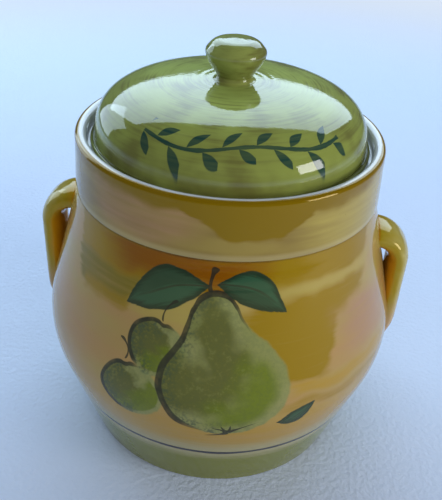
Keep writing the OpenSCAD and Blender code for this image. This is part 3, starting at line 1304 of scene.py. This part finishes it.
@dataclass
class EarHandle:
    """A pulled strap from the shoulder down to the belly, in millimetres."""

    name: str
    side: int
    top: float
    crock: Crock
    rise: float = 3.5
    bow: float = -4.4
    rounding: float = 17.5
    turn_z: float = 93.0
    tip_z: float = 40.0
    stand: float = -4.2
    width_top: float = 34.0
    width_mid: float = 32.0
    width_tip: float = 9.0
    thick: float = 14.5
    thick_tip: float = 5.0
    start: float = 8.0
    tip_bury: float = 4.0
    press: float = 4.5
    fullness: float = 0.826

    def line(self) -> list[Vector]:
        """The strap's centre line, from just inside the shoulder to inside the belly.

        Returns:
            Radius and height of its points in millimetres.
        """
        wall = self.crock.wall_at
        points = dense(
            rounded(
                [
                    Corner(wall(self.top) - self.start, self.top - self.rise / 2),
                    Corner(self.crock.belly_r + self.bow, self.top + self.rise, self.rounding),
                    Corner(wall(self.turn_z) + self.stand, self.turn_z, 2 * self.rounding),
                    Corner(wall(self.tip_z) - self.tip_bury, self.tip_z),
                ]
            ),
            2.0,
        )
        while points[0].x < wall(points[0].y) - self.press or points[1].x < points[0].x:
            del points[0]
        return points

    def width(self, t: float) -> float:
        """Width of the strap at a share of its length.

        Args:
            t: The share of the length, from 0 to 1.

        Returns:
            The width in millimetres.
        """
        if t < 0.5:
            return self.width_mid + (self.width_top - self.width_mid) * (1 - 2 * t) ** 2
        return self.width_tip + (self.width_mid - self.width_tip) * math.cos(math.pi * (t - 0.5))

    def thickness(self, t: float) -> float:
        """Thickness of the strap at a share of its length.

        Args:
            t: The share of the length, from 0 to 1.

        Returns:
            The thickness in millimetres.
        """
        return self.thick_tip + (self.thick - self.thick_tip) * math.cos(
            math.pi / 2 * max(0.0, 2 * t - 1)
        )

    def build(self) -> bpy.types.Object:
        """Pulls the strap by extruding a full oval along its line, and glazes it.

        Returns:
            The finished piece.
        """
        line = self.line()
        last = len(line) - 1
        bpy.ops.object.select_all(action="DESELECT")
        bpy.ops.mesh.primitive_plane_add(size=2 * MM)
        piece = bpy.context.object
        piece.name = piece.data.name = self.name
        bpy.ops.object.mode_set(mode="EDIT")
        bpy.ops.mesh.select_all(action="SELECT")
        bpy.ops.mesh.bevel(affect="VERTICES", offset=self.fullness * MM, segments=9)
        bpy.ops.mesh.select_all(action="SELECT")
        heading = 0.0
        here = Vector((0.0, 0.0, 0.0))
        size = Vector((1.0, 1.0))
        for i, point in enumerate(line):
            along = line[min(last, i + 1)] - line[max(0, i - 1)]
            there = Vector((self.side * point.x * MM, 0.0, point.y * MM))
            if i == 0:
                bpy.ops.transform.translate(value=there - here)
            else:
                bpy.ops.mesh.extrude_region_move(TRANSFORM_OT_translate={"value": there - here})
            here = there
            wanted = Vector((self.thickness(i / last), self.width(i / last))) / 2
            ratio = Vector((wanted.x / size.x, wanted.y / size.y))
            bpy.ops.transform.resize(value=(ratio.x, ratio.y, ratio.x), center_override=here)
            size = wanted
            tilt = math.atan2(self.side * along.x, along.y)
            bpy.ops.transform.rotate(
                value=heading - tilt, orient_axis="Y", orient_type="GLOBAL", center_override=here
            )
            heading = tilt
        bpy.ops.mesh.select_all(action="SELECT")
        bpy.ops.mesh.normals_make_consistent(inside=False)
        bpy.ops.object.mode_set(mode="OBJECT")
        self.press_on(piece)
        bpy.ops.object.shade_smooth()
        piece.data.materials.append(HandleGlaze().material(self.side))
        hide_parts("handle_right" if self.side > 0 else "handle_left")
        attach(piece, "jar")
        return piece

    def press_on(self, piece: bpy.types.Object) -> None:
        """Presses what would come through the crock's wall flat inside it.

        Args:
            piece: The strap.
        """
        for vertex in piece.data.vertices:
            r = math.hypot(vertex.co.x, vertex.co.y)
            least = (self.crock.skin_at(vertex.co.z / MM) - self.press) * MM
            if r < least:
                vertex.co.x *= least / r
                vertex.co.y *= least / r


@dataclass
class Lid:
    """The thrown lid, in millimetres."""

    seat_z: float = 219.0
    edge_r: float = 90.5
    dome_r: float = 87.7
    lip_top: float = 224.0
    dome_z: float = 223.0
    rise: float = 37.5
    fullness: float = 3.0
    wall: float = 6.0
    ring_r: float = 82.0
    ring_wall: float = 5.0
    ring_z: float = 209.0
    edge: float = 1.5
    lip_round: float = 2.3
    groove: float = 1.5
    bare_h: float = 0.3
    lining_in: float = 2.0
    lining_tilt: float = 0.02
    lining_below: float = 1.0
    ridges_r: float = 21.0
    ridges_reach: float = 7.0
    first_ridge_r: float = 17.0
    ridge_gap: float = 5.4
    ridge_rise: float = 0.06
    steps: int = 224

    def dome(self, base_r: float, rise: float, r: float) -> float:
        """Height of a full dome above its base at a radius."""
        return rise * max(0.0, 1 - (r / base_r) ** self.fullness) ** (1 / self.fullness)

    def ripple(self, r: float) -> float:
        """Depth of the throwing ridges that run round the knob."""
        window = max(0.0, 1 - abs(r - self.ridges_r) / self.ridges_reach)
        return self.ridge_rise * window * math.cos(math.tau * (r - self.first_ridge_r) / self.ridge_gap)

    def outline(self) -> list[Vector]:
        """The closed outline from the middle of the underside round to the top.

        Returns:
            Radius and height of its points in millimetres.
        """
        inner_r = self.dome_r - self.wall
        ring_in = self.ring_r - self.ring_wall
        under = [
            Vector((r, self.dome_z + self.dome(inner_r, self.rise - self.wall, r)))
            for r in [ring_in * math.sin(math.pi / 2 * i / 30) for i in range(30)]
            if r < ring_in - self.edge
        ]
        lip = rounded(
            [
                Corner(ring_in, self.dome_z + self.dome(inner_r, self.rise - self.wall, ring_in)),
                Corner(ring_in, self.ring_z, self.edge),
                Corner(self.ring_r, self.ring_z, self.edge),
                Corner(self.ring_r, self.seat_z, 0.5),
                Corner(self.edge_r, self.seat_z, self.lip_round),
                Corner(self.edge_r, self.lip_top, self.lip_round),
                Corner(self.dome_r + self.groove, self.lip_top, self.groove / 2),
                Corner(self.dome_r + self.groove / 3, self.dome_z),
            ]
        )
        angles = [math.pi / 2 * i / 120 for i in range(121)]
        radii = [self.dome_r * math.cos(a) for a in angles[:-1]] + [0.0]
        top = [
            Vector((r, self.dome_z + self.dome(self.dome_r, self.rise, r) + self.ripple(r)))
            for r in radii
        ]
        return [*under, *lip, *top]

    def build(self) -> bpy.types.Object:
        """Throws the lid and glazes it green above and white below.

        Returns:
            The finished piece.
        """
        piece = turned("lid_glazed", self.outline(), self.steps)
        for material in (
            LeafGlaze().material(True),
            WhiteGlaze().material(),
            BareStoneware().material(),
        ):
            piece.data.materials.append(material)
        for face in piece.data.polygons:
            spot = face.center / MM
            r = math.hypot(spot.x, spot.y)
            under = face.normal.z < self.lining_tilt or spot.z < self.dome_z - self.lining_below
            if abs(spot.z - self.seat_z) < self.bare_h and r > self.ring_r:
                face.material_index = Coat.BARE
            elif r < self.dome_r - self.lining_in and under:
                face.material_index = Coat.LINING
        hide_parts("lid")
        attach(piece, "lid")
        return piece


@dataclass
class Knob:
    """The thrown knob and the slip that joins its neck to the lid, in millimetres."""

    seat_z: float
    r: float = 19.2
    neck_r: float = 10.8
    height: float = 25.5
    wide_z: float = 16.5
    slip_out: float = 3.2
    slip_sunk: float = 0.6
    slip_in: float = 0.6
    slip_up: float = 0.1
    slip_edge: float = 0.5
    slip_lean: float = 0.2
    slip_rise: float = 1.2
    neck_lean: float = 0.6
    neck_h: float = 3.0
    neck_round: float = 3.0
    under_in: float = 1.6
    under_h: float = 4.0
    under_round: float = 12.0
    brim_out: float = 0.4
    brim_h: float = 1.5
    brim_round: float = 4.0
    crown_share: float = 0.72
    crown_drop: float = 0.8
    crown_round: float = 9.0
    steps: int = 128

    def outline(self) -> list[Vector]:
        """The closed outline from just inside the lid's top round to the crown.

        Returns:
            Radius and height of its points in millimetres.
        """
        seat = self.seat_z
        wide = seat + self.wide_z
        top = seat + self.height
        slip_r = self.neck_r + self.slip_out
        return dense(
            rounded(
                [
                    Corner(0, seat - self.slip_sunk),
                    Corner(slip_r, seat - self.slip_sunk),
                    Corner(slip_r - self.slip_in, seat + self.slip_up, self.slip_edge),
                    Corner(self.neck_r + self.slip_lean, seat + self.slip_rise, self.neck_round),
                    Corner(self.neck_r + self.neck_lean, seat + self.neck_h, self.neck_round),
                    Corner(self.r - self.under_in, wide - self.under_h, self.under_round),
                    Corner(self.r + self.brim_out, wide + self.brim_h, self.brim_round),
                    Corner(self.r * self.crown_share, top - self.crown_drop, self.crown_round),
                    Corner(0, top),
                ],
                4.0,
            ),
            1.5,
        )

    def build(self) -> bpy.types.Object:
        """Throws the knob and glazes it green.

        Returns:
            The finished piece.
        """
        piece = turned("knob_glazed", self.outline(), self.steps)
        piece.data.materials.append(LeafGlaze().material(False))
        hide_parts("lid_knob")
        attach(piece, "lid")
        return piece


@dataclass
class Lamp:
    """A rectangular soft box, in metres, that faces a point of the crock."""

    name: str
    place: Vector
    wide: float
    tall: float
    watts: float
    tint: str = "#FFFFFF"
    mirrored: bool = True
    aim: Vector = field(default_factory=lambda: Vector((0, 0, 0.2)))

    def build(self) -> bpy.types.Object:
        """Hangs the soft box.

        Returns:
            The lamp.
        """
        bpy.ops.object.select_all(action="DESELECT")
        bpy.ops.object.light_add(type="AREA", location=self.place)
        lamp = bpy.context.object
        lamp.name = self.name
        lamp.data.shape = "RECTANGLE"
        lamp.data.size = self.wide
        lamp.data.size_y = self.tall
        lamp.data.energy = self.watts
        lamp.data.color = srgb(self.tint)[:3]
        lamp.visible_glossy = self.mirrored
        lamp.visible_camera = False
        lamp.rotation_euler = (self.aim - self.place).to_track_quat("-Z", "Y").to_euler()
        return lamp


@dataclass
class Studio:
    """The cloth, the soft boxes, the pale surround and the camera."""

    heading: float = 4.187
    tilt: float = 33.286
    roll: float = 3.724
    place: tuple[float, float, float] = (0.0296, -0.4235, 0.4108)
    lens: float = 50.4
    surround: str = "#DCE8F8"
    surround_strength: float = 0.12
    seen_strength: float = 1.0
    lamps: tuple[Lamp, ...] = (
        Lamp("soft_box_behind", Vector((-0.15, 1.2, 1.19)), 2.7, 1.1, 36.5, "#CFE9FF"),
        Lamp("soft_box_front", Vector((0.35, -1.5, 1.1)), 2.4, 1.6, 15.5, mirrored=False),
        Lamp("soft_box_left", Vector((-1.22, 0.72, 0.56)), 0.75, 0.95, 6.5, "#CFE9FF"),
        Lamp("soft_box_right", Vector((1.22, -0.44, 0.48)), 0.5, 0.5, 6.7),
    )

    def build(self) -> None:
        """Sets up everything that isn't the object."""
        bpy.ops.object.select_all(action="DESELECT")
        bpy.ops.mesh.primitive_plane_add(size=8.0)
        floor = bpy.context.object
        floor.name = "cloth_floor"
        floor.data.materials.append(Towelling().material())
        for lamp in self.lamps:
            lamp.build()
        world = bpy.data.worlds.new("pale_surround")
        bpy.context.scene.world = world
        shader = Shader(world)
        seen = shader.add(Node.CAMERA_RAY)
        strength = shader.add(Node.STEP, seen, 0.0, 1.0, self.surround_strength, self.seen_strength)
        shader.add(Node.WORLD_OUT, shader.add(Node.BACKGROUND, self.surround, strength))
        bpy.ops.object.camera_add()
        camera = bpy.context.object
        camera.name = "camera"
        camera.data.lens = self.lens
        camera.data.sensor_width = 36.0
        camera.data.clip_start = 0.01
        camera.matrix_world = (
            Matrix.Translation(self.place)
            @ Matrix.Rotation(math.radians(self.heading), 4, "Z")
            @ Matrix.Rotation(math.radians(90 - self.tilt), 4, "X")
            @ Matrix.Rotation(math.radians(self.roll), 4, "Z")
        )
        bpy.context.scene.camera = camera
        bpy.context.scene.view_settings.view_transform = "Standard"


def corners(box: tuple[Vector, Vector]) -> list[list[float]]:
    """A box's two corners as plain lists."""
    return [list(box[0]), list(box[1])]


def main() -> None:
    """Builds the object and its studio in order."""
    logging.basicConfig(level=logging.INFO, format="%(message)s")
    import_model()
    Studio().build()
    crock = Crock()
    lid = Lid()
    pieces = [
        crock.build(),
        EarHandle("handle_right_glazed", 1, 163.0, crock).build(),
        EarHandle("handle_left_glazed", -1, 168.5, crock).build(),
        lid.build(),
        Knob(lid.dome_z + lid.rise).build(),
    ]
    for piece in pieces:
        LOG.info("%s: %d faces", piece.name, len(piece.data.polygons))


if __name__ == "__main__":
    main()
